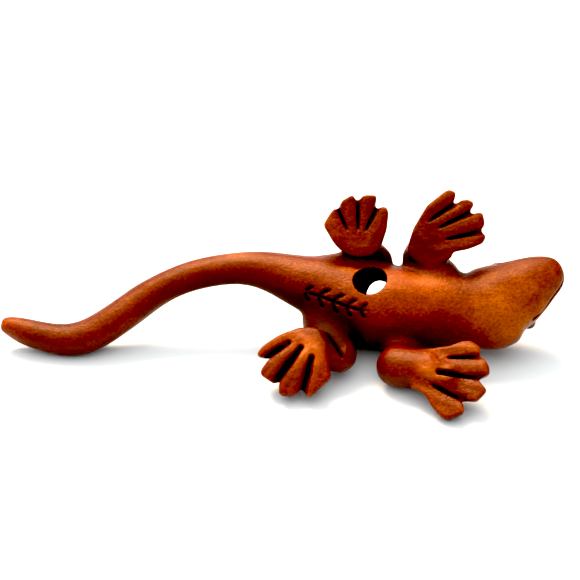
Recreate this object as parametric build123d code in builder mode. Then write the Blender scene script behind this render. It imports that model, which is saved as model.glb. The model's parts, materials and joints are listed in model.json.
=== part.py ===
"""A lizard carved from one block of boxwood, with a cord hole and two inlaid horn eyes.

It is modelled belly up in its own frame: X runs to the head, Y to the lizard's right
and Z out of its belly. The last section turns it into the attitude in which it rests.
"""

from build123d import *
import math
import os

# ---------------------------------------------------------------- driving dimensions
# Millimetres and degrees.
ROLL = 42.7  # the belly leans this far from straight up when the lizard rests
PITCH = -0.8  # the head end is lifted by this angle when it rests

# The trunk's outline from tail tip to shoulders: along, right, belly, half width, half depth.
TAIL_AND_TRUNK = (
    (-66.0, -3.4, -1.6, 1.2, 1.2),
    (-64.4, -3.7, -1.7, 1.85, 1.8),
    (-61.0, -4.8, -1.9, 2.4, 2.4),
    (-57.0, -5.8, -2.0, 2.65, 2.6),
    (-52.8, -6.0, -2.0, 2.9, 2.9),
    (-48.5, -4.5, -1.8, 3.0, 3.0),
    (-43.5, -1.2, -1.4, 2.95, 2.9),
    (-38.5, 2.3, -1.0, 2.75, 2.7),
    (-33.5, 4.7, -0.6, 2.65, 2.6),
    (-28.5, 6.0, -0.3, 2.7, 2.7),
    (-23.5, 6.5, 0.0, 2.85, 2.9),
    (-18.5, 6.05, -0.2, 3.45, 3.6),
    (-14.0, 4.75, -0.6, 4.35, 4.7),
    (-9.5, 3.5, -0.9, 5.55, 5.9),
    (-4.5, 1.0, -1.5, 6.8, 7.4),
    (0.5, 0.0, -1.7, 7.45, 8.0),
    (5.5, -0.4, -1.7, 7.35, 7.9),
    (10.5, -0.6, -1.5, 6.9, 7.2),
    (15.0, -0.8, -1.0, 6.6, 6.3),
)

# The head turns to the lizard's right. Its sections stand square to a straight axis that
# ends at HEAD_APEX: distance from the apex, shift to the right, belly, half width, half depth.
HEAD_TURN = 30.0
HEAD_APEX = (39.26, 10.1)
HEAD = (
    (21.0, -0.35, -0.7, 7.6, 5.7),
    (18.0, 0.15, -0.5, 6.55, 5.2),
    (15.0, -0.4, -0.3, 5.95, 4.6),
    (12.0, -0.3, -0.1, 4.8, 3.9),
    (9.5, -0.2, 0.0, 3.75, 3.15),
    (8.0, -0.2, 0.1, 2.9, 2.5),
    (7.1, -0.1, 0.2, 1.95, 1.7),
    (6.75, 0.0, 0.2, 1.0, 0.9),
)
MOUTH_HEIGHT = 0.9
MOUTH_GAP = 0.4
MOUTH_DEPTH = 0.45
MOUTH_LENGTH = 9.8  # from the snout back along the jaw
MOUTH_PLATE_REACH = 12.0  # the plate that cuts the mouth ends this far out on each side

# Cord hole: from the belly to the back, a little right of the belly's centre line.
CORD_HOLE_RADIUS = 2.8
CORD_HOLE_BELLY = (-0.4, 3.2, 5.3)
CORD_HOLE_BACK = (2.1, 2.8, -7.5)

# Eyes: a round peg with a domed end, pressed into a blind socket of the same size.
EYE_RADIUS = 1.2
EYE_SOCKET_DEPTH = 2.6
EYE_DOME = 0.8
EYE_DISTANCE = 16.0  # from the head's apex
EYE_SIDE = 5.9
EYE_BELLY = -2.9
EYE_SLOPE = 38.0  # the pegs point this far towards the back from straight sideways
BROW_RADIUS = 1.75
BROW_SINK = 1.26  # the brow ball's centre lies this far under the eye's rim

# Limbs: joint centres from the trunk outwards, each with its radius.
LIMBS = {
    "left_front": (
        ((8.5, -5.0, -3.5), 2.8),
        ((4.8, -9.4, 0.4), 2.6),
        ((4.0, -12.0, 3.9), 3.3),
        ((9.6, -12.9, 5.4), 3.2),
    ),
    "right_front": (((12.0, 4.6, 0.0), 3.8), ((8.8, 8.2, 0.8), 3.2), ((10.6, 11.6, 2.3), 2.9)),
    "left_hind": (((-8.9, -3.0, -0.4), 3.3), ((-5.7, -9.8, 2.9), 2.9), ((-10.4, -9.6, 4.4), 2.7)),
    "right_hind": (((-8.0, 4.2, -1.0), 4.9), ((1.1, 8.0, -0.6), 2.8), ((-2.6, 11.0, 1.9), 2.8)),
}

# Feet: fan-shaped plates with a domed palm on top. lean raises the left edge of the palm (or,
# if it is negative, the right edge) towards the belly side, and rise raises its edge nearest
# the head. toes is the direction of the toes from X. Outline and slots are in the palm's own
# plane, X to the head and Y to the right, from its centre.
FOOT_THICKNESS = 3.2
FOOT_BEVEL_HEIGHT = 0.9
FOOT_BEVEL_ANGLE = 30.0
PALM_DOME_RADIUS = 25.0
PALM_DOME_HEIGHT = 0.4
FOOT_BACK_ANGLE = 14.0
TOE_THINNING = 6.0  # the back of the plate rises towards the toes by this angle
SLOT_HALF_WIDTH_INNER = 0.5
SLOT_HALF_WIDTH_OUTER = 0.8
SLOT_DEPTH_INNER = 0.8
SLOT_DEPTH_OUTER = 2.0
FEET = {
    "left_front": dict(
        centre=(11.0, -14.7, 9.2),
        lean=11.0,
        rise=11.0,
        toes=-30.0,
        outline=(
            (-4.5, 5.4), (-0.9, 5.8), (1.7, 6.0), (4.2, 6.8), (5.6, 6.9), (7.3, 5.7), (7.3, 4.2),
            (7.9, 3.3), (8.75, 1.8), (8.7, 0.2), (6.9, -0.4), (7.0, -1.0), (8.2, -2.7),
            (6.2, -4.5), (3.9, -4.2), (4.15, -6.4), (1.2, -7.5), (0.0, -7.2), (-1.45, -5.2),
            (-2.6, -2.9), (-3.9, -1.7), (-5.0, -1.5),
        ),
        slots=(((0.66, 3.8), (7.4, 3.6)), ((0.4, 0.8), (7.6, -0.3)), ((-1.5, -1.0), (4.3, -4.2))),
    ),
    "right_front": dict(
        centre=(10.9, 12.2, 6.6),
        lean=-12.0,
        rise=0.0,
        toes=35.0,
        outline=(
            (-4.4, -5.2), (-5.0, -3.8), (-3.6, 0.2), (-1.25, 4.1), (1.9, 6.6), (2.75, 6.95),
            (4.0, 6.35), (3.8, 4.7), (4.5, 5.0), (5.9, 5.2), (7.25, 4.6), (6.8, 2.9), (8.8, 2.95),
            (9.25, 0.9), (8.8, -0.3), (9.5, -1.5), (8.8, -2.8), (5.9, -3.85), (3.5, -4.3),
            (3.2, -5.3), (1.0, -6.7), (-0.3, -7.0), (-2.5, -6.4),
        ),
        slots=(((-1.3, 0.9), (4.4, 4.8)), ((0.3, -0.2), (7.4, 3.2)), ((1.6, -2.1), (9.0, -0.4))),
    ),
    "left_hind": dict(
        centre=(-11.75, -10.3, 7.2),
        lean=8.0,
        rise=0.0,
        toes=-125.0,
        outline=(
            (-8.4, 0.4), (-8.1, -0.4), (-6.1, -0.5), (-7.8, -2.9), (-7.65, -3.6), (-5.5, -5.1),
            (-4.5, -4.8), (-4.6, -7.0), (-3.6, -7.4), (-1.6, -7.2), (-0.6, -6.1), (0.6, -7.7),
            (1.6, -7.0), (4.7, -4.1), (4.25, -2.25), (4.1, 2.25), (3.0, 4.7), (1.0, 5.3),
            (-1.3, 5.0), (-4.7, 3.5), (-7.25, 1.7),
        ),
        slots=(
            ((-2.85, 2.0), (-7.4, -0.9)),
            ((-0.7, 1.05), (-5.3, -5.2)),
            ((1.15, -0.75), (-0.5, -7.0)),
        ),
    ),
    "right_hind": dict(
        centre=(-2.5, 12.3, 6.2),
        lean=-12.0,
        rise=0.0,
        toes=90.0,
        outline=(
            (-6.0, 0.45), (-4.3, 3.65), (-3.5, 3.8), (-2.7, 5.0), (-0.85, 6.05), (0.0, 5.2),
            (0.6, 5.7), (1.3, 5.95), (3.45, 5.9), (3.5, 3.8), (4.5, 3.95), (5.2, 3.8), (5.6, 2.7),
            (5.3, -0.3), (4.5, -2.9), (3.7, -4.3), (2.4, -5.1), (0.0, -5.3), (-1.7, -4.8), (-3.2, -3.8),
        ),
        slots=(((-1.5, -1.0), (-3.9, 4.4)), ((0.1, -0.2), (0.1, 6.0)), ((1.1, -1.0), (3.9, 4.6))),
    ),
}


# ---------------------------------------------------------------- head and trunk sections
def heading(points, index):
    """Direction of the trunk's axis at one section, from the sections on each side of it."""
    before = points[max(index - 1, 0)]
    after = points[min(index + 1, len(points) - 1)]
    return Vector(after[0] - before[0], after[1] - before[1], after[2] - before[2])


def head_point(distance, right, belly):
    """A point on the head, measured back from the apex and out to the head's right."""
    turn = math.radians(HEAD_TURN)
    along = HEAD_APEX[0] - distance * math.cos(turn) - right * math.sin(turn)
    across = HEAD_APEX[1] - distance * math.sin(turn) + right * math.cos(turn)
    return Vector(along, across, belly)


def section_plane(centre, direction):
    """A plane square to the axis, its X to the lizard's right and its Y towards the belly."""
    return Plane(origin=centre, x_dir=Vector(0, 0, 1).cross(direction), z_dir=direction)


HEAD_DIRECTION = Vector(1, 0, 0).rotate(Axis.Z, HEAD_TURN)

with BuildPart() as trunk:
    for index, (along, right, belly, half_width, half_depth) in enumerate(TAIL_AND_TRUNK):
        with BuildSketch(section_plane((along, right, belly), heading(TAIL_AND_TRUNK, index))):
            Ellipse(half_width, half_depth)
    for distance, shift, belly, half_width, half_depth in HEAD:
        with BuildSketch(section_plane(head_point(distance, shift, belly), HEAD_DIRECTION)):
            Ellipse(half_width, half_depth)
    loft()

# ---------------------------------------------------------------- mouth
with BuildPart() as mouth:
    # A thin plate round the jaws, cut out inside by the jaws' own outline less the depth.
    inner_edge = [(HEAD[-1][0] + MOUTH_DEPTH, 0.0)]
    left_edge = []
    for distance, shift, belly, half_width, half_depth in HEAD[-2:0:-1]:
        inner_edge.append((distance + MOUTH_DEPTH / 2, shift + half_width - MOUTH_DEPTH))
        left_edge.append((distance + MOUTH_DEPTH / 2, shift - half_width + MOUTH_DEPTH))
    corners = [*reversed(left_edge), *inner_edge]
    reach = MOUTH_LENGTH + HEAD[-1][0]
    with BuildSketch(Plane.XY.offset(MOUTH_HEIGHT - MOUTH_GAP / 2)):
        with BuildLine():
            Polyline(
                head_point(reach, MOUTH_PLATE_REACH, 0),
                head_point(0.0, MOUTH_PLATE_REACH, 0),
                head_point(0.0, -MOUTH_PLATE_REACH, 0),
                head_point(reach, -MOUTH_PLATE_REACH, 0),
                close=True,
            )
        make_face()
        with BuildLine():
            Spline(*[head_point(distance, right, 0) for distance, right in corners])
            Line(head_point(*corners[-1], 0), head_point(*corners[0], 0))
        make_face(mode=Mode.SUBTRACT)
    extrude(amount=MOUTH_GAP)


# ---------------------------------------------------------------- limbs
def make_limb(joints):
    """Two tapered rods and a ball at each joint, as one solid."""
    with BuildPart() as limb:
        for (start, start_radius), (end, end_radius) in zip(joints, joints[1:]):
            direction = Vector(*end) - Vector(*start)
            with BuildSketch(Plane(origin=start, z_dir=direction)):
                Circle(start_radius)
            with BuildSketch(Plane(origin=end, z_dir=direction)):
                Circle(end_radius)
            loft()
        for centre, radius in joints:
            with Locations(centre):
                Sphere(radius)
    return limb.part


# ---------------------------------------------------------------- feet
def foot_plane(foot):
    """The plane of a palm, leaning sideways and rising towards the head."""
    level = Plane(origin=foot["centre"], x_dir=(1, 0, 0), z_dir=(0, 0, 1))
    return level.rotated((-foot["lean"], -foot["rise"], 0))


def make_foot(foot):
    """A bevelled, domed fan plate, thinner at the toes, with three tapering slots between them."""
    palm = foot_plane(foot)
    toes = Vector(1, 0, 0).rotate(Axis.Z, foot["toes"])
    toe_direction = palm.from_local_coords(toes) - palm.origin
    with BuildPart() as plate:
        with BuildSketch(palm.offset(-FOOT_BEVEL_HEIGHT)):
            with BuildLine():
                Polyline(*foot["outline"], close=True)
            make_face()
        outline = plate.pending_faces[0]
        extrude(amount=FOOT_BEVEL_HEIGHT + PALM_DOME_HEIGHT, taper=FOOT_BEVEL_ANGLE)
        extrude(outline, amount=-(FOOT_THICKNESS - FOOT_BEVEL_HEIGHT), taper=FOOT_BACK_ANGLE)
        back_centre = palm.origin - palm.z_dir * FOOT_THICKNESS
        back = Plane(origin=back_centre, x_dir=toe_direction.cross(palm.z_dir), z_dir=palm.z_dir)
        split(bisect_by=back.rotated((TOE_THINNING, 0, 0)), keep=Keep.TOP)
        with Locations(palm.offset(PALM_DOME_HEIGHT - PALM_DOME_RADIUS)):
            Sphere(PALM_DOME_RADIUS, mode=Mode.INTERSECT)
        for inner, outer in foot["slots"]:
            run = Vector(*outer) - Vector(*inner)
            across = palm.from_local_coords(run) - palm.origin
            inner_size = (SLOT_HALF_WIDTH_INNER, SLOT_DEPTH_INNER)
            outer_size = (SLOT_HALF_WIDTH_OUTER, SLOT_DEPTH_OUTER)
            for end, (half_width, depth) in ((inner, inner_size), (outer, outer_size)):
                origin = palm.from_local_coords(end)
                with BuildSketch(Plane(origin=origin, x_dir=across.cross(palm.z_dir), z_dir=across)):
                    Ellipse(half_width, depth)
            loft(mode=Mode.SUBTRACT)
    return plate.part


limbs = [make_limb(joints) for joints in LIMBS.values()]
feet = [make_foot(foot) for foot in FEET.values()]


# ---------------------------------------------------------------- eyes
def eye_plane(side):
    """The plane of an eye's rim, facing out of the head: side is 1 on the right, -1 on the left."""
    slope = math.radians(EYE_SLOPE)
    turn = math.radians(HEAD_TURN)
    sideways = Vector(-math.sin(turn) * side, math.cos(turn) * side, 0)
    outward = sideways * math.cos(slope) - Vector(0, 0, math.sin(slope))
    return Plane(origin=head_point(EYE_DISTANCE, EYE_SIDE * side, EYE_BELLY), z_dir=outward)


def make_eye(side):
    """A round peg with a domed end, turned about the middle of the eye."""
    rim = eye_plane(side)
    profile = Plane(origin=rim.origin, x_dir=rim.x_dir, z_dir=rim.x_dir.cross(rim.z_dir))
    dome_radius = (EYE_RADIUS**2 + EYE_DOME**2) / (2 * EYE_DOME)
    half_angle = math.asin(EYE_RADIUS / dome_radius) / 2
    shoulder_drop = dome_radius * (1 - math.cos(half_angle))
    shoulder = (dome_radius * math.sin(half_angle), EYE_DOME - shoulder_drop)
    corner = (EYE_RADIUS, -EYE_SOCKET_DEPTH)
    with BuildPart() as eye:
        with BuildSketch(profile):
            with BuildLine():
                Polyline((0, EYE_DOME), (0, -EYE_SOCKET_DEPTH), corner, (EYE_RADIUS, 0))
                ThreePointArc((EYE_RADIUS, 0), shoulder, (0, EYE_DOME))
            make_face()
        revolve(axis=Axis(rim.origin, rim.z_dir))
    return eye


left_eye = make_eye(-1)
right_eye = make_eye(1)

# ---------------------------------------------------------------- the carving
with BuildPart() as carving:
    add(trunk.part)
    add(limbs)
    add(feet)
    for side in (-1, 1):
        with Locations(eye_plane(side).offset(-BROW_SINK)):
            Sphere(BROW_RADIUS)
    add(mouth.part, mode=Mode.SUBTRACT)
    for side in (-1, 1):
        with BuildSketch(eye_plane(side)):
            Circle(EYE_RADIUS)
        extrude(amount=EYE_DOME, mode=Mode.SUBTRACT)
        with BuildSketch(eye_plane(side)):
            Circle(EYE_RADIUS)
        extrude(amount=-EYE_SOCKET_DEPTH, mode=Mode.SUBTRACT)
    hole_direction = Vector(*CORD_HOLE_BACK) - Vector(*CORD_HOLE_BELLY)
    with BuildSketch(Plane(origin=CORD_HOLE_BELLY, z_dir=hole_direction)):
        Circle(CORD_HOLE_RADIUS)
    extrude(amount=2 * hole_direction.length, both=True, mode=Mode.SUBTRACT)

# ---------------------------------------------------------------- resting attitude
turn = Location((0, 0, 0), (0, PITCH, 0)) * Location((0, 0, 0), (ROLL, 0, 0))
box = carving.part.moved(turn).bounding_box()
rest = Location((-box.center().X, -box.center().Y, -box.min.Z)) * turn

os.makedirs("parts", exist_ok=True)
for name, piece in (("carving", carving), ("left_eye", left_eye), ("right_eye", right_eye)):
    resting = piece.part.moved(rest)
    resting.label = name
    export_step(resting, f"parts/{name}.step")
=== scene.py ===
"""Looks of the carved lizard toggle: stained boxwood, black horn eyes, on a pale studio floor.

The carving is sculpted from the frame's own solid as a field of signed distances, in the
lizard's own frame (X to the head, Y to its right, Z out of its belly, millimetres).
"""

import json
import math

import bpy
import numpy as np
import openvdb
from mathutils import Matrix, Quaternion, Vector


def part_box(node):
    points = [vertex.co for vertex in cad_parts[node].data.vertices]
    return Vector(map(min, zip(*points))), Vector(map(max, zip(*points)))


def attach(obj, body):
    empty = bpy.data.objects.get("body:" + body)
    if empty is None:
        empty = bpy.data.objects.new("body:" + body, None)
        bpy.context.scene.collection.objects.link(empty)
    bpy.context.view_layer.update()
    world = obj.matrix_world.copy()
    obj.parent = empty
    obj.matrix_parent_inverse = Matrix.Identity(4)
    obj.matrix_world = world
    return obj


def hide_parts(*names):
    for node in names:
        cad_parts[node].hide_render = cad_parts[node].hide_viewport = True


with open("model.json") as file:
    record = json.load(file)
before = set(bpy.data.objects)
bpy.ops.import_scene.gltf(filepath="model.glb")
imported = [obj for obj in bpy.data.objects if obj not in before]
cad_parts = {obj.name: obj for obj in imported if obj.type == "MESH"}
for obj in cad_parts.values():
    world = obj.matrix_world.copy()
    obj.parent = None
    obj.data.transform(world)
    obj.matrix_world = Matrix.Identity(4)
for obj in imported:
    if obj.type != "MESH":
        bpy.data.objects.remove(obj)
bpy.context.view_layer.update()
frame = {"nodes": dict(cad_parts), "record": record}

# ---------------------------------------------------------------- the lizard's own frame
ROLL = math.radians(42.7)
PITCH = math.radians(-0.8)
HOLE_MIDDLE = np.array((1.0, 2.976, -1.864))


def about_x(angle):
    cos, sin = math.cos(angle), math.sin(angle)
    return np.array(((1, 0, 0), (0, cos, -sin), (0, sin, cos)))


def about_y(angle):
    cos, sin = math.cos(angle), math.sin(angle)
    return np.array(((cos, 0, sin), (0, 1, 0), (-sin, 0, cos)))


TURN = about_y(PITCH) @ about_x(ROLL)
cord_hole = frame["record"]["mounts"][0]
ORIGIN = np.array(cord_hole["pos_m"]) * 1000 - TURN @ HOLE_MIDDLE
HOLE_AXIS = TURN.T @ np.array(cord_hole["axis"])


def to_lizard(points_m):
    """Row frame in metres to the lizard's own frame in millimetres."""
    return (points_m * 1000 - ORIGIN) @ TURN


def to_row(points_mm):
    """The lizard's own frame in millimetres to the row frame in metres."""
    return (points_mm @ TURN.T + ORIGIN) / 1000


# ---------------------------------------------------------------- the block being carved
VOXEL_MM = 0.16
REACH = 14  # voxels of distance kept on each side of the surface
MAX_TRIANGLES = 185000


def smoothstep(low, high, value):
    t = np.clip((value - low) / (high - low), 0, 1)
    return t * t * (3 - 2 * t)


def mesh_arrays(mesh):
    """Vertices and triangles of a mesh as arrays."""
    mesh.calc_loop_triangles()
    points = np.empty(len(mesh.vertices) * 3, np.float32)
    mesh.vertices.foreach_get("co", points)
    triangles = np.empty(len(mesh.loop_triangles) * 3, np.int32)
    mesh.loop_triangles.foreach_get("vertices", triangles)
    return points.reshape(-1, 3).astype(np.float64), triangles.reshape(-1, 3)


def box_blur(field, half, axis):
    """A moving average along one axis, with the edge values carried on outside."""
    pad = [(0, 0)] * 3
    pad[axis] = (half + 1, half)
    total = np.cumsum(np.pad(field, pad, mode="edge"), axis, dtype=np.float32)
    width = 2 * half + 1
    count = field.shape[axis]
    upper = [slice(None)] * 3
    lower = [slice(None)] * 3
    upper[axis] = slice(width, width + count)
    lower[axis] = slice(0, count)
    return (total[tuple(upper)] - total[tuple(lower)]) / width


def stretch(field, axis, count):
    """A field of half the detail, brought back to the full grid along one axis."""
    at = np.clip((np.arange(count) - 0.5) / 2, 0, field.shape[axis] - 1)
    base = np.minimum(at.astype(int), field.shape[axis] - 2)
    shape = [1, 1, 1]
    shape[axis] = count
    part = (at - base).astype(np.float32).reshape(shape)
    return np.take(field, base, axis) * (1 - part) + np.take(field, base + 1, axis) * part


class Block:
    """Signed distances on a grid, negative inside the wood."""

    def __init__(self, points, triangles):
        self.low = np.floor(points.min(0) / VOXEL_MM).astype(int) - REACH
        high = np.ceil(points.max(0) / VOXEL_MM).astype(int) + REACH
        high += (high - self.low) % 2
        level_set = openvdb.FloatGrid.createLevelSetFromPolygons(
            points.astype(np.float32),
            triangles=triangles,
            transform=openvdb.createLinearTransform(voxelSize=VOXEL_MM),
            halfWidth=REACH,
        )
        self.field = np.empty(high - self.low, np.float32)
        level_set.copyToArray(self.field, ijk=tuple(int(v) for v in self.low))

    def window(self, low, high):
        """Slices of the grid inside a box, and the coordinates there."""
        first = np.maximum(np.floor(np.array(low) / VOXEL_MM).astype(int) - self.low, 0)
        last = np.ceil(np.array(high) / VOXEL_MM).astype(int) - self.low
        last = np.minimum(last, self.field.shape)
        slices = tuple(slice(int(a), int(b)) for a, b in zip(first, last))
        axes = []
        for start, stop, offset in zip(first, last, self.low):
            axes.append((np.arange(start, stop) + offset).astype(np.float32) * VOXEL_MM)
        return slices, np.meshgrid(*axes, indexing="ij", sparse=True)

    def near(self, centre, reach):
        """The window within reach of a point."""
        centre = np.array(centre, float)
        return self.window(centre - reach, centre + reach)

    def blurred(self, radius):
        """The field averaged over a ball of about this radius."""
        x, y, z = (n // 2 for n in self.field.shape)
        half = self.field.reshape(x, 2, y, 2, z, 2).mean(axis=(1, 3, 5))
        reach = max(1, round(radius / VOXEL_MM / 4))
        for axis in range(3):
            for _ in range(3):
                half = box_blur(half, reach, axis)
        for axis in range(3):
            half = stretch(half, axis, self.field.shape[axis])
        return half

    def soften(self, passes):
        """The field smoothed over its nearest neighbours only."""
        out = self.field
        for _ in range(passes):
            for axis, count in enumerate(out.shape):
                steps = np.arange(count)
                ahead = np.take(out, np.minimum(steps + 1, count - 1), axis)
                behind = np.take(out, np.maximum(steps - 1, 0), axis)
                out = 0.5 * out + 0.25 * ahead + 0.25 * behind
        return out

    def sample(self, points, field):
        """Values of a field at points, interpolated between voxels."""
        at = points / VOXEL_MM - self.low
        base = np.clip(np.floor(at).astype(int), 0, np.array(field.shape) - 2)
        part = at - base
        value = np.zeros(len(points))
        for i in (0, 1):
            for j in (0, 1):
                for k in (0, 1):
                    weight = np.abs(part - 1 + np.array((i, j, k))).prod(axis=1)
                    value += weight * field[base[:, 0] + i, base[:, 1] + j, base[:, 2] + k]
        return value

    def surface(self):
        """Vertices and quads of the surface."""
        grid = openvdb.FloatGrid(REACH * VOXEL_MM)
        grid.transform = openvdb.createLinearTransform(voxelSize=VOXEL_MM)
        grid.copyFromArray(self.field, ijk=tuple(int(v) for v in self.low))
        return grid.convertToQuads(isovalue=0.0)


# ---------------------------------------------------------------- carving tools
def smooth_min(a, b, blend):
    share = np.clip(0.5 + 0.5 * (b - a) / blend, 0, 1)
    return b + (a - b) * share - blend * share * (1 - share)


def to_segment(at, start, end):
    """Distance of grid points from a segment, and how far along it they are, 0 to 1."""
    run = [float(b) - float(a) for a, b in zip(start, end)]
    offset = [p - float(a) for p, a in zip(at, start)]
    length = sum(r * r for r in run)
    t = np.clip(sum(o * r for o, r in zip(offset, run)) / length, 0, 1)
    return np.sqrt(sum((o - t * r) ** 2 for o, r in zip(offset, run))), t


def to_path(at, path):
    """Distance from a polyline, and how far along it, 0 to 1."""
    nearest, along = None, None
    pieces = len(path) - 1
    for index in range(pieces):
        distance, t = to_segment(at, path[index], path[index + 1])
        t = (t + index) / pieces
        if nearest is None:
            nearest, along = distance, t
        else:
            closer = distance < nearest
            nearest, along = np.where(closer, distance, nearest), np.where(closer, t, along)
    return nearest, along


def add_rod(path, radii, blend):
    """Adds a tapered rounded rod that flows into the wood round it."""
    path = np.array(path, float)
    reach = max(radii) + 2 * blend + 1
    for start, end, first, last in zip(path, path[1:], radii, radii[1:]):
        slices, at = block.window(np.minimum(start, end) - reach, np.maximum(start, end) + reach)
        distance, t = to_segment(at, start, end)
        rod = distance - (first + (last - first) * t) + blend / 4
        block.field[slices] = smooth_min(block.field[slices], rod, blend)


def press(centre, radius, depth):
    """Presses a soft dent into the wood, or raises a swelling if depth is negative."""
    slices, at = block.near(centre, 2.2 * radius)
    distance2 = sum((p - c) ** 2 for p, c in zip(at, centre))
    block.field[slices] += (depth * np.exp(-distance2 / radius**2)).astype(np.float32)


# The thigh's crease and the sprig are cut looking down on the belly from a little to the left: a
# cut is drawn in that view, along the body and across it, and follows the surface under it.
LEAN = math.radians(13.0)


def across(at):
    """How far across the body grid points are, in the belly view."""
    return at[1] * math.cos(LEAN) + at[2] * math.sin(LEAN)


def belly_cut(path, width, depth, low, high, taper):
    """Carves a V along a path in the belly view. width is half its width, and taper gives the
    share of the path over which it starts and ends."""
    slices, at = block.window(low, high)
    distance, t = to_path((at[0], across(at)), path)
    size = smoothstep(0, taper[0], t) * smoothstep(0, taper[1], 1 - t)
    side = distance / (width * np.maximum(size, 0.05))
    cut = depth * size * np.clip(1 - side, 0, 1)
    block.field[slices] += cut.astype(np.float32)


cad_points, cad_triangles = mesh_arrays(frame["nodes"]["carving"].data)
block = Block(to_lizard(cad_points), cad_triangles)

# ---------------------------------------------------------------- wood added at the joins
# Path, a radius at each of its points, and how softly the rod blends into the wood.
RODS = (
    # left forearm
    (((4.4, -12.0, 4.2), (9.0, -12.9, 5.9), (12.5, -14.4, 8.0)), (3.2, 3.0, 2.2), 1.6),
    # left thigh
    (((-8.5, -4.0, 0.6), (-5.6, -9.8, 2.6)), (3.0, 2.6), 1.0),
    # left side of the jaws
    (((23.6, -4.7, 0.4), (25.5, -2.5, 0.4), (28.7, 1.9, 0.5)), (2.8, 2.8, 2.7), 0.8),
    # right shoulder
    (((12.9, 6.6, 1.0), (14.8, 4.3, 1.0)), (1.6, 1.6), 0.6),
)
for path, radii, blend in RODS:
    add_rod(path, radii, blend)

# ---------------------------------------------------------------- what stays crisp
# Palms where the frame has them: centre, lean, rise, and the slots to cut between the toes, in
# the palm's plane.
PALMS = {
    "left_front": (
        (11.0, -14.7, 9.2), 11.0, 11.0,
        (((0.2, 3.8), (7.6, 3.6)), ((0.1, 0.8), (7.8, -0.4)), ((-2.3, -0.45), (4.5, -4.5))),
    ),
    "right_front": (
        (10.9, 12.2, 6.6), -12.0, 0.0,
        (((-2.2, 0.3), (4.6, 5.0)), ((-0.7, -0.7), (7.7, 3.4)), ((0.5, -2.3), (9.3, -0.4))),
    ),
    "left_hind": (
        (-11.75, -10.3, 7.2), 8.0, 0.0,
        (((-2.85, 2.0), (-7.8, -1.1)), ((-0.7, 1.05), (-5.6, -5.6)), ((1.15, -0.75), (-0.6, -7.4))),
    ),
    "right_hind": (
        (-2.5, 12.3, 6.2), -12.0, 0.0,
        (((-1.25, -1.55), (-4.1, 4.8)), ((0.1, -1.8), (0.1, 6.2)), ((0.75, -1.7), (4.1, 4.9))),
    ),
}
PALM_REACH = 11
EYELID_RADIUS = 1.8
EYELID_HEIGHTS = {"left_eye": 0.28, "right_eye": 0.05}

# Distances from the middle of a slot, the hole or an eye: the frame's edges stay crisp inside the
# first one, and are fully eased outside the second.
CRISP_SLOT = (2.9, 4.1)
CRISP_HOLE = (3.0, 3.9)
CRISP_EYE = (1.8, 2.6)


def palm_axes(lean, rise):
    """The palm's own X, Y and normal."""
    return (about_x(math.radians(-lean)) @ about_y(math.radians(-rise))).T


def palm_view(at, centre, lean, rise):
    """Grid coordinates in a palm's own frame."""
    offset = [p - c for p, c in zip(at, centre)]
    return [sum(o * float(a) for o, a in zip(offset, axis)) for axis in palm_axes(lean, rise)]


def keep_crisp(slices, limits, distance, share=1.0):
    """Marks the window as crisp inside the limits."""
    kept = (1 - smoothstep(*limits, distance)) * share
    crisp[slices] = np.maximum(crisp[slices], kept)


crisp = np.zeros(block.field.shape, np.float32)
for centre, lean, rise, slots in PALMS.values():
    slices, at = block.near(centre, PALM_REACH)
    u, v, w = palm_view(at, centre, lean, rise)
    for start, end in slots:
        distance, t = to_segment((u, v), start, end)
        keep_crisp(slices, CRISP_SLOT, distance, smoothstep(-4.5, -3.5, w))

slices, at = block.near(HOLE_MIDDLE, 13)
along_hole = sum((p - m) * a for p, m, a in zip(at, HOLE_MIDDLE, HOLE_AXIS))
from_hole = sum((p - m - along_hole * a) ** 2 for p, m, a in zip(at, HOLE_MIDDLE, HOLE_AXIS))
keep_crisp(slices, CRISP_HOLE, np.sqrt(from_hole))

for name, height in EYELID_HEIGHTS.items():
    eye_middle = np.mean([to_lizard(np.array(corner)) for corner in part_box(name)], axis=0)
    press(eye_middle, EYELID_RADIUS, -height)
    slices, at = block.near(eye_middle, 4)
    distance = np.sqrt(sum((p - m) ** 2 for p, m in zip(at, eye_middle)))
    keep_crisp(slices, CRISP_EYE, distance)

# ---------------------------------------------------------------- creases filled, edges eased
# Creases are filled on the left and in the middle only: on the right the limbs keep the deep
# creases of the frame.
FILLED_SIDE = (3.0, 7.0)  # filled fully left of the first, not at all right of the second
FILL_RADIUS = 1.9
FILL_MARGIN = 0.04  # wood is added only where the blur would add more than this
EASE_RADIUS = 0.7
EASE_SHIFT = -0.07  # gives back the wood that the blur takes off
CRISP_PASSES = 5
CRISP_SHIFT = -0.03  # the same, for the parts that stay crisp

_, at = block.window(block.low * VOXEL_MM, (block.low + block.field.shape) * VOXEL_MM)
left = 1 - smoothstep(*FILLED_SIDE, at[1])
fill = np.minimum(block.field, block.blurred(FILL_RADIUS) + FILL_MARGIN)
fill = block.field + (fill - block.field) * left
block.field = fill + (block.field - fill) * crisp
ease = block.blurred(EASE_RADIUS) + EASE_SHIFT
block.field = ease + (block.soften(CRISP_PASSES) + CRISP_SHIFT - ease) * crisp

# ---------------------------------------------------------------- toes
SLOT_SLOPE = 0.4  # each wall leans back by this much of its height
TOE_MIDDLE = 1.7  # from the middle of the nearest slot
TOE_HALF_WIDTH = 0.65
TOE_SWELLING = 0.16


def slot_half_width(t):
    """Half the width of a slot 1 mm down, narrower at both ends."""
    return 0.1 + 0.32 * smoothstep(0, 0.5, t) - 0.18 * smoothstep(0.6, 1.0, t)


def slot_bottom(t):
    """The bottom of a slot, which rises towards the palm at its inner end."""
    return -0.5 - 1.5 * smoothstep(0, 0.45, t)


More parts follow.
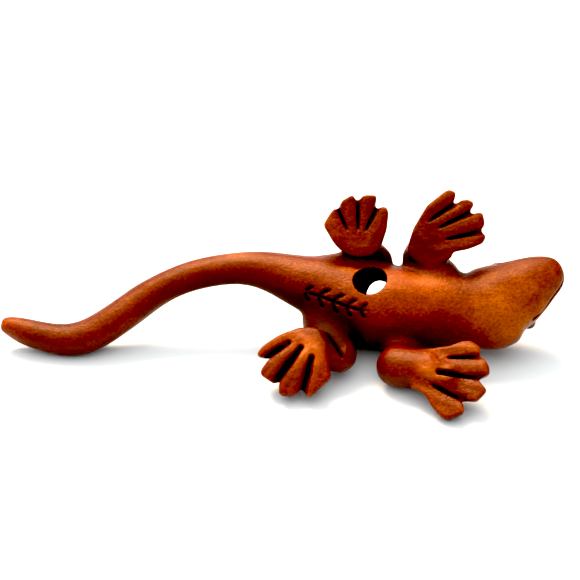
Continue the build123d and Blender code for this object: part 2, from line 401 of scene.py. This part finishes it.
def carve_toes(centre, lean, rise, slots):
    """Cuts the slots, and swells the middle of each toe a little above their rims."""
    slices, at = block.near(centre, PALM_REACH)
    u, v, w = palm_view(at, centre, lean, rise)
    distances = []
    for start, end in slots:
        distance, t = to_segment((u, v), start, end)
        distances.append(distance)
        wall = distance - slot_half_width(t) - SLOT_SLOPE * (w + 1.0)
        slot = np.maximum(wall, slot_bottom(t) - w)
        block.field[slices] = np.maximum(block.field[slices], -slot)
    nearest = np.min(distances, axis=0)
    toe = np.exp(-(((nearest - TOE_MIDDLE) / TOE_HALF_WIDTH) ** 2)) * smoothstep(-1.4, -0.4, w)
    block.field[slices] -= (TOE_SWELLING * toe).astype(np.float32)


for palm in PALMS.values():
    carve_toes(*palm)

# ---------------------------------------------------------------- soft dents and swellings
# Centre, radius, and depth, which is negative for a swelling.
PRESSES = (
    # edge of the right hind foot on the tail's side
    ((-7.6, 12.8, 6.2), 1.6, -0.3),
    ((-6.2, 10.6, 5.6), 1.6, -0.4),
    # tail tip
    ((-64.5, -4.6, 0.0), 2.6, 0.35),
    # left cheek and jaw
    ((26.8, -7.2, -0.5), 2.4, 0.55),
    ((21.5, -8.2, -0.5), 3.0, -0.4),
    ((30.3, -2.2, -0.2), 1.8, 0.3),
    # snout and right side of the head
    ((34.6, 7.4, 0.2), 3.5, -0.25),
    ((27.0, 9.5, 0.5), 4.5, -0.15),
)
for centre, radius, depth in PRESSES:
    press(centre, radius, depth)

# ---------------------------------------------------------------- mouth and nostrils
HEAD_TURN = math.radians(30)
APEX = (39.26, 10.1)
MOUTH_HEIGHT = 0.9
MOUTH_CLIMB = 0.05  # towards the cheeks
SNOUT = 7.0  # this and the next two are distances back from the apex of the head
MOUTH_END = 16.6
NOSTRIL_DISTANCE = 8.3
NOSTRIL_SIDE = 1.25
NOSTRIL_HEIGHT = -1.3


def from_apex(x, y):
    """Distance back along the head's axis."""
    return (APEX[0] - x) * math.cos(HEAD_TURN) + (APEX[1] - y) * math.sin(HEAD_TURN)


def above_mouth(z, distance):
    """Height over the line of the mouth."""
    return z - (MOUTH_HEIGHT + MOUTH_CLIMB * (distance - SNOUT))


slices, at = block.window((22, -9, -3), (38, 18, 4))
distance = from_apex(at[0], at[1])
height = np.abs(above_mouth(at[2], distance))
lips = 1 - smoothstep(MOUTH_END - 1.5, MOUTH_END, distance)
groove = np.clip(1 - height / 0.34, 0, 1)
lip = np.exp(-(((height - 0.75) / 0.45) ** 2))
block.field[slices] += (lips * (0.6 * groove - 0.12 * lip)).astype(np.float32)

for side in (-1, 1):
    nostril_x = APEX[0] - NOSTRIL_DISTANCE * math.cos(HEAD_TURN)
    nostril_y = APEX[1] - NOSTRIL_DISTANCE * math.sin(HEAD_TURN)
    nostril_x -= side * NOSTRIL_SIDE * math.sin(HEAD_TURN)
    nostril_y += side * NOSTRIL_SIDE * math.cos(HEAD_TURN)
    press((nostril_x, nostril_y, NOSTRIL_HEIGHT), 0.42, 0.7)

# ---------------------------------------------------------------- cuts on the belly and legs
# The crease on the left thigh: a wide soft valley with a narrow cut in it.
CREASE = ((-8.8, -4.0), (-7.7, -5.5), (-6.3, -7.6), (-4.9, -9.8))
CREASE_BOX = ((-12, -14, 0), (-1, -2, 9))
belly_cut(CREASE, 1.7, 0.6, *CREASE_BOX, (0.8, 0.3))
belly_cut(CREASE, 0.55, 0.5, *CREASE_BOX, (0.75, 0.12))

# A fern sprig, chip-carved beside the cord hole: a stem, and leaflets in pairs along it.
STEM = ((-11.8, 2.2), (-9.4, 1.5), (-7.0, 0.6), (-4.6, -0.3), (-2.2, -1.0), (0.4, -1.3))
STEM_BOX = ((-13, -4, 1), (3, 5, 9))
LEAF_LENGTHS = (2.3, 2.9, 3.0, 2.7, 2.1)
LEAF_ANGLE = math.radians(52)
LEAF_BEND = 0.55  # the outer half of a leaflet turns back to this share of its angle


def step(point, angle, length):
    """A point this far away in the belly view."""
    return point[0] + length * math.cos(angle), point[1] + length * math.sin(angle)


belly_cut(STEM, 0.42, 0.65, *STEM_BOX, (0.08, 0.2))
for root, after, length in zip(STEM, STEM[1:], LEAF_LENGTHS):
    heading = math.atan2(after[1] - root[1], after[0] - root[0])
    for side in (1, -1):
        angle = side * LEAF_ANGLE
        start = step(root, heading + angle, 0.1)
        middle = step(start, heading + angle, 0.5 * length)
        tip = step(middle, heading + angle * LEAF_BEND, 0.45 * length)
        low = (start[0] - 3.5, start[1] - 5, 1)
        high = (start[0] + 3.5, start[1] + 5, 9)
        belly_cut((start, middle, tip), 0.5, 0.6, low, high, (0.15, 0.4))

# ---------------------------------------------------------------- the carved mesh
points, quads = block.surface()
mesh = bpy.data.meshes.new("carved_wood")
mesh.from_pydata(to_row(points.astype(np.float64)).tolist(), [], quads.tolist())
carved = bpy.data.objects.new("carved_wood", mesh)
bpy.context.scene.collection.objects.link(carved)
if 2 * len(quads) > MAX_TRIANGLES:
    decimate = carved.modifiers.new("fewer", "DECIMATE")
    decimate.ratio = MAX_TRIANGLES / (2 * len(quads))
    bpy.context.view_layer.objects.active = carved
    bpy.ops.object.modifier_apply(modifier="fewer")
carved.data.shade_smooth()
surface, _ = mesh_arrays(carved.data)
surface = to_lizard(surface)

# ---------------------------------------------------------------- wear, stain, painted shade and painted highlights, vertex by vertex
# Spots of thicker and thinner stain, of painted shade and of painted highlight: centre, reach on
# each axis, amount.
TONE_AND_PAINTED_LIGHT_SPOTS = (
    # groin and left thigh
    ((-8.5, -4.0, 2.5), (6.0, 4.0, 6.0), 0.75),
    ((-6.0, -7.0, 4.5), (3.5, 4.0, 4.0), 1.0),
    ((-9.0, 0.5, 4.0), (6.0, 3.0, 4.0), 0.1),
    # belly: a little painted shade low down, and painted highlights on its top
    ((3.0, -6.5, 2.0), (9.0, 2.5, 6.0), 0.05),
    ((8.5, 2.5, 4.0), (5.0, 2.2, 3.0), -0.5),
    ((2.5, 5.0, 2.0), (4.0, 2.0, 3.0), -0.3),
    # head and neck, with painted shade on the head's top and where the right foreleg meets the neck
    ((28.0, 9.5, 1.0), (10.0, 5.0, 6.0), 0.45),
    ((18.0, 1.0, 3.0), (4.0, 6.0, 6.0), 0.12),
    ((23.0, -4.0, 2.0), (7.0, 5.0, 6.0), -0.4),
    ((30.0, 3.0, 1.0), (9.0, 8.0, 7.0), 0.06),
    ((16.5, 5.5, 3.0), (3.0, 2.0, 4.0), 0.35),
    # right feet; painted shade on the right front heel, on the knee behind the right hind foot and
    # in the creases under the feet
    ((10.9, 12.2, 6.6), (8.0, 8.0, 5.0), 0.4),
    ((7.5, 9.0, 4.0), (3.5, 3.0, 4.0), 0.4),
    ((-2.5, 12.3, 6.2), (7.0, 8.0, 5.0), 0.25),
    ((-2.5, 17.5, 7.0), (7.0, 3.0, 5.0), 0.25),
    ((2.5, 8.5, 0.5), (3.0, 3.0, 4.0), 0.7),
    ((3.0, 7.6, 2.0), (12.0, 1.6, 3.0), 0.4),
    # left front limb
    ((1.2, -12.5, 3.0), (2.0, 4.0, 5.0), 0.5),
    ((5.0, -12.0, 6.0), (4.0, 4.0, 4.0), 0.45),
    ((15.0, -16.0, 9.0), (6.0, 7.0, 4.0), 0.45),
    ((10.0, -14.0, 9.0), (3.0, 3.0, 3.0), -0.3),
    # left hind foot
    ((-11.0, -9.5, 8.0), (3.5, 4.0, 3.0), -0.35),
    ((-14.5, -14.0, 7.0), (6.0, 5.0, 4.0), 0.45),
    # tail, from its root to its tip, with painted shade on the lower half near its root
    ((-16.0, 0.5, 1.0), (9.0, 3.0, 5.0), 0.5),
    ((-22.0, 9.0, 0.0), (8.0, 3.0, 5.0), 0.2),
    ((-27.0, 3.0, 0.0), (9.0, 3.0, 5.0), 0.3),
    ((-34.0, 3.0, 0.0), (24.0, 8.0, 9.0), 0.4),
    ((-56.0, -5.0, 0.0), (9.0, 6.0, 6.0), 0.5),
    ((-66.0, -4.0, 0.0), (4.0, 5.0, 5.0), -0.2),
)

# Painted highlights: pale spots where the light catches the belly's top, beside the cord hole, the
# tail's top and the left palms: centre, and reach on each axis.
PAINTED_HIGHLIGHT_SPOTS = (
    ((9.5, 2.8, 4.5), (4.5, 1.6, 3.0)),
    ((-4.5, 5.2, 4.0), (3.0, 1.4, 3.0)),
    ((-24.0, 8.5, 1.5), (6.0, 1.3, 3.0)),
    ((-11.0, -9.2, 8.0), (3.0, 2.5, 3.0)),
    ((9.5, -14.0, 9.5), (2.5, 2.0, 3.0)),
)
FULL_SHIFT = 0.3  # how far the fine blur moves the surface where a hollow is fully dark
EDGE_SHIFT = 0.06  # how far it moves the surface where an edge starts to look worn
FINE_BLUR = 0.8
BROAD_BLUR = 3.2

fine = block.sample(surface, block.blurred(FINE_BLUR))
broad = block.sample(surface, block.blurred(BROAD_BLUR))
x, y, z = surface.T
normals = np.empty(len(surface) * 3, np.float32)
carved.data.vertices.foreach_get("normal", normals)
normals = normals.reshape(-1, 3) @ TURN


def attribute(name, values):
    made = carved.data.attributes.new(name, "FLOAT", "POINT")
    made.data.foreach_set("value", values.astype(np.float32))


def spot(centre, reach):
    """A soft spot on the surface, 1 in its middle."""
    return np.exp(-(((surface - centre) / reach) ** 2).sum(axis=1))


def slot_dirt(centre, lean, rise, slots):
    """Dirt in the slots between the toes, thinner at both ends."""
    u, v, w = palm_view(surface.T, centre, lean, rise)
    low = smoothstep(-0.3, -1.5, w) * smoothstep(-4.2, -3.6, w)
    dirt = np.zeros(len(surface))
    for start, end in slots:
        distance, t = to_segment((u, v), start, end)
        ends = smoothstep(-0.1, 0.3, t) * (1 - 0.6 * smoothstep(0.7, 1.0, t))
        dirt = np.maximum(dirt, 0.75 * smoothstep(0.8, 0.2, distance) * ends * low)
    return dirt


def mouth_dirt():
    """Dirt along the line of the mouth."""
    distance = from_apex(x, y)
    line = smoothstep(0.42, 0.22, np.abs(above_mouth(z, distance)))
    return line * (1 - smoothstep(MOUTH_END - 1.0, MOUTH_END, distance))


def hole_wall():
    """1 on the wall of the cord hole."""
    depth = (surface - HOLE_MIDDLE) @ HOLE_AXIS
    distance = np.linalg.norm(surface - HOLE_MIDDLE - np.outer(depth, HOLE_AXIS), axis=1)
    return smoothstep(3.05, 2.85, distance) * smoothstep(9.5, 8.0, np.abs(depth))


def stain_and_painted_light():
    """Depth of stain and painted shade: painted shade where the wood faces away from the belly view
    and in broad hollows, then the spots, which add stain, painted shade and painted highlight.
    """
    # Painted shade on the faces turned down, and in broad hollows.
    turned_down = -(normals[:, 1] * math.cos(LEAN) + normals[:, 2] * math.sin(LEAN))
    depth = 0.2 + 0.35 * smoothstep(0.0, 0.85, turned_down)
    depth += 0.45 * np.clip(0.3 - broad / 1.2, 0, 1)
    for centre, reach, amount in TONE_AND_PAINTED_LIGHT_SPOTS:
        depth += amount * spot(centre, reach)
    return np.clip(depth, 0, 1.6)


in_hole = hole_wall()
hollow = np.maximum(np.clip(-fine / FULL_SHIFT, 0, 1), mouth_dirt())
for palm in PALMS.values():
    hollow = np.maximum(hollow, slot_dirt(*palm))
painted_highlight = np.minimum(sum(spot(centre, reach) for centre, reach in PAINTED_HIGHLIGHT_SPOTS), 1)
# Worn edges, plus the painted highlights.
edge = np.clip((fine - EDGE_SHIFT) / FULL_SHIFT, 0, 1) + 0.8 * painted_highlight

# The cord hole's wall is also painted near black here, as shade.
attribute("hollow", np.maximum(hollow, in_hole))
attribute("edge", edge)
# Stain, painted shade and painted highlight, as one depth.
attribute("stain_shade_and_highlight", stain_and_painted_light())
attribute("amber", smoothstep(8, 24, x))
place = carved.data.attributes.new("body_place", "FLOAT_VECTOR", "POINT")
place.data.foreach_set("vector", surface.astype(np.float32).ravel())


# ---------------------------------------------------------------- material tools
def material(name):
    made = bpy.data.materials.new(name)
    made.use_nodes = True
    return made, made.node_tree.nodes["Principled BSDF"]


class Nodes:
    """Short ways to add shader nodes. Inputs may be values or other nodes' outputs."""

    def __init__(self, made):
        self.tree = made.node_tree

    def put(self, socket, value):
        if isinstance(value, bpy.types.NodeSocket):
            self.tree.links.new(value, socket)
        else:
            socket.default_value = value

    def attribute(self, name, output="Fac"):
        node = self.tree.nodes.new("ShaderNodeAttribute")
        node.attribute_name = name
        return node.outputs[output]

    def scaled(self, vector, scale):
        node = self.tree.nodes.new("ShaderNodeMapping")
        self.put(node.inputs["Vector"], vector)
        node.inputs["Scale"].default_value = scale
        return node.outputs["Vector"]

    def noise(self, vector, scale, detail, roughness):
        node = self.tree.nodes.new("ShaderNodeTexNoise")
        self.put(node.inputs["Vector"], vector)
        node.inputs["Scale"].default_value = scale
        node.inputs["Detail"].default_value = detail
        node.inputs["Roughness"].default_value = roughness
        return node.outputs["Fac"]

    def cells(self, vector, scale):
        node = self.tree.nodes.new("ShaderNodeTexVoronoi")
        self.put(node.inputs["Vector"], vector)
        node.inputs["Scale"].default_value = scale
        return node.outputs["Distance"]

    def math(self, operation, first, second):
        node = self.tree.nodes.new("ShaderNodeMath")
        node.operation = operation
        self.put(node.inputs[0], first)
        self.put(node.inputs[1], second)
        return node.outputs["Value"]

    def range(self, value, low, high, to_low=0.0, to_high=1.0):
        node = self.tree.nodes.new("ShaderNodeMapRange")
        node.interpolation_type = "SMOOTHSTEP"
        self.put(node.inputs["Value"], value)
        node.inputs["From Min"].default_value = low
        node.inputs["From Max"].default_value = high
        node.inputs["To Min"].default_value = to_low
        node.inputs["To Max"].default_value = to_high
        return node.outputs["Result"]

    def mix(self, factor, first, second):
        node = self.tree.nodes.new("ShaderNodeMix")
        node.data_type = "RGBA"
        self.put(node.inputs["Factor"], factor)
        self.put(node.inputs[6], first)
        self.put(node.inputs[7], second)
        return node.outputs[2]

    def bump(self, height, strength, distance, normal=None):
        node = self.tree.nodes.new("ShaderNodeBump")
        node.inputs["Strength"].default_value = strength
        node.inputs["Distance"].default_value = distance
        self.put(node.inputs["Height"], height)
        if normal is not None:
            self.put(node.inputs["Normal"], normal)
        return node.outputs["Normal"]


# ---------------------------------------------------------------- materials
AMBER = (0.31, 0.066, 0.005, 1)
ORANGE = (0.27, 0.037, 0.003, 1)
RUSSET = (0.125, 0.0095, 0.0015, 1)
RED_BROWN = (0.055, 0.003, 0.001, 1)
# The deepest stain and painted shade.
DEEP_STAIN_AND_SHADE = (0.022, 0.0012, 0.0006, 1)
NEAR_BLACK = (0.006, 0.0008, 0.0006, 1)
# Painted shade in the cord hole, mottled with the near black.
HOLE_SHADE_BROWN = (0.02, 0.002, 0.001, 1)
# Pale wear, and the colour of the painted highlights.
PALE_WEAR_AND_HIGHLIGHT = (0.50, 0.14, 0.035, 1)
BLACK_HORN = (0.01, 0.007, 0.006, 1)
FLOOR_WHITE = (0.66, 0.68, 0.68, 1)


def stained_boxwood():
    """Amber on the head and orange behind it, darkened by stain, dirt and painted shade, and pale
    on worn edges and painted highlights.
    """
    made, shader = material("stained_boxwood")
    n = Nodes(made)
    body = n.attribute("body_place", "Vector")
    mottle = n.noise(n.scaled(body, (0.7, 1.0, 1.0)), 0.42, 4, 0.62)
    speckle = n.noise(n.scaled(body, (0.8, 1.0, 1.0)), 2.4, 4, 0.75)
    fibre = n.noise(n.scaled(body, (0.25, 1.0, 1.0)), 5.0, 2, 0.5)
    pores = n.cells(n.scaled(body, (0.5, 1.0, 1.0)), 3.2)
    tool_marks = n.noise(n.scaled(body, (0.5, 1.0, 1.0)), 0.9, 2, 0.5)
    # Stain, painted shade and painted highlight, as one depth.
    stain_shade_and_highlight = n.attribute("stain_shade_and_highlight")
    hollow = n.attribute("hollow")

    base = n.mix(n.attribute("amber"), ORANGE, AMBER)
    depth = n.math("ADD", stain_shade_and_highlight, n.math("MULTIPLY", n.math("SUBTRACT", mottle, 0.5), 0.75))
    base = n.mix(n.range(depth, 0.05, 0.5), base, RUSSET)
    base = n.mix(n.range(speckle, 0.5, 0.3, 0, 0.35), base, AMBER)
    base = n.mix(n.range(fibre, 0.5, 0.75, 0, 0.25), base, AMBER)
    base = n.mix(n.range(depth, 0.45, 0.9, 0, 0.85), base, RED_BROWN)
    # Darkest where stain and painted shade lie deepest.
    base = n.mix(n.range(depth, 0.85, 1.4), base, DEEP_STAIN_AND_SHADE)
    base = n.mix(n.range(speckle, 0.42, 0.68, 0, 0.6), base, RED_BROWN)
    base = n.mix(n.range(pores, 0.2, 0.05, 0, 0.2), base, RED_BROWN)
    # Pale where edges are worn, and on the painted highlights.
    wear_and_highlight = n.math("MULTIPLY", n.attribute("edge"), n.range(speckle, 0.35, 0.62, 0.5, 1.0))
    base = n.mix(n.range(wear_and_highlight, 0.3, 0.9, 0, 0.6), base, PALE_WEAR_AND_HIGHLIGHT)
    # Near black in the slots, the mouth and the fine creases, and as painted shade on the cord
    # hole's wall.
    base = n.mix(n.range(hollow, 0.25, 0.85), base, NEAR_BLACK)
    n.put(shader.inputs["Base Color"], base)

    rough = n.range(speckle, 0.3, 0.7, 0.17, 0.36)
    rough = n.math("MAXIMUM", rough, n.range(hollow, 0.2, 0.7))
    rough = n.math("MAXIMUM", rough, n.range(stain_shade_and_highlight, 0.7, 1.2, 0.3, 0.7))
    n.put(shader.inputs["Roughness"], rough)
    shader.inputs["Specular IOR Level"].default_value = 0.42
    shader.inputs["Specular Tint"].default_value = (1, 0.6, 0.32, 1)

    normal = n.bump(tool_marks, 0.5, 0.00022)
    normal = n.bump(speckle, 0.6, 0.00022, normal)
    normal = n.bump(n.range(pores, 0.0, 0.2), 0.3, 0.00004, normal)
    n.put(shader.inputs["Normal"], normal)
    return made


def painted_hole_shade():
    """The wall of the cord hole, painted near black as the shade inside the hole, with no shine."""
    made, shader = material("painted_hole_shade")
    n = Nodes(made)
    shade_mottle = n.noise(n.attribute("body_place", "Vector"), 2.0, 3, 0.6)
    n.put(shader.inputs["Base Color"], n.mix(n.range(shade_mottle, 0.4, 0.75), NEAR_BLACK, HOLE_SHADE_BROWN))
    shader.inputs["Roughness"].default_value = 0.9
    shader.inputs["Specular IOR Level"].default_value = 0.0
    return made


def plain(name, colour, roughness):
    made, shader = material(name)
    shader.inputs["Base Color"].default_value = colour
    shader.inputs["Roughness"].default_value = roughness
    return made


carved.data.materials.append(stained_boxwood())
carved.data.materials.append(painted_hole_shade())
corners = np.empty(len(carved.data.loops), np.int32)
carved.data.loops.foreach_get("vertex_index", corners)
first_corners = np.empty(len(carved.data.polygons), np.int32)
carved.data.polygons.foreach_get("loop_start", first_corners)
# Faces on the cord hole's wall take the painted shade material.
on_wall = in_hole[corners[first_corners]] > 0.5
carved.data.polygons.foreach_set("material_index", on_wall.astype(np.int32))

horn = plain("black_horn", BLACK_HORN, 0.1)
for name in EYELID_HEIGHTS:
    node = frame["nodes"][name]
    if node.material_slots:
        node.material_slots[0].material = horn
    else:
        node.data.materials.append(horn)

# ---------------------------------------------------------------- floor and light
FLOOR_SIZE = 4
# Place, size, power and colour of each light. All of them point at the origin.
LIGHTS = {
    "overhead_softbox": ((-0.10, -0.02, 0.5), (1.2, 1.0), 7.0, (1, 1, 1)),
    "back_strip": ((-0.09, 0.22, 0.38), (0.3, 0.1), 3.6, (1, 0.76, 0.55)),
}

bpy.ops.mesh.primitive_plane_add(size=FLOOR_SIZE)
floor = bpy.context.object
floor.name = "floor"
floor.data.materials.append(plain("studio_floor", FLOOR_WHITE, 0.7))

world = bpy.data.worlds.new("studio")
bpy.context.scene.world = world
world.use_nodes = True
background = world.node_tree.nodes["Background"]
background.inputs["Color"].default_value = (0.93, 0.97, 1.0, 1)
background.inputs["Strength"].default_value = 0.5

for name, (place, size, power, colour) in LIGHTS.items():
    light = bpy.data.lights.new(name, "AREA")
    light.shape = "RECTANGLE"
    light.size, light.size_y = size
    light.energy = power
    light.color = colour
    light_object = bpy.data.objects.new(name, light)
    light_object.location = place
    light_object.rotation_euler = (-Vector(place)).to_track_quat("-Z", "Y").to_euler()
    bpy.context.scene.collection.objects.link(light_object)

# ---------------------------------------------------------------- camera
ELEVATION = math.radians(34.3)
CAMERA_ROLL = math.radians(0.7)
CAMERA_DISTANCE = 0.300
AIM = Vector((0.00162, 0.00769, 0.01109))

camera = bpy.data.cameras.new("camera")
camera.lens = 105
camera.sensor_width = 36
camera.clip_start = 0.01
camera_object = bpy.data.objects.new("camera", camera)
outward = Vector((0, -math.cos(ELEVATION), math.sin(ELEVATION)))
camera_object.location = AIM + outward * CAMERA_DISTANCE
camera_object.rotation_mode = "QUATERNION"
level_view = (-outward).to_track_quat("-Z", "Y")
camera_object.rotation_quaternion = level_view @ Quaternion((0, 0, 1), CAMERA_ROLL)
bpy.context.scene.collection.objects.link(camera_object)
bpy.context.scene.camera = camera_object

look = bpy.context.scene.view_settings
look.view_transform = "Standard"
look.use_curve_mapping = True
look.curve_mapping.black_level = (0.043, 0.040, 0.042)
look.curve_mapping.white_level = (0.85, 0.85, 0.85)
look.curve_mapping.update()

# ---------------------------------------------------------------- the frame's bookkeeping
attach(carved, "root")
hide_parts("carving")
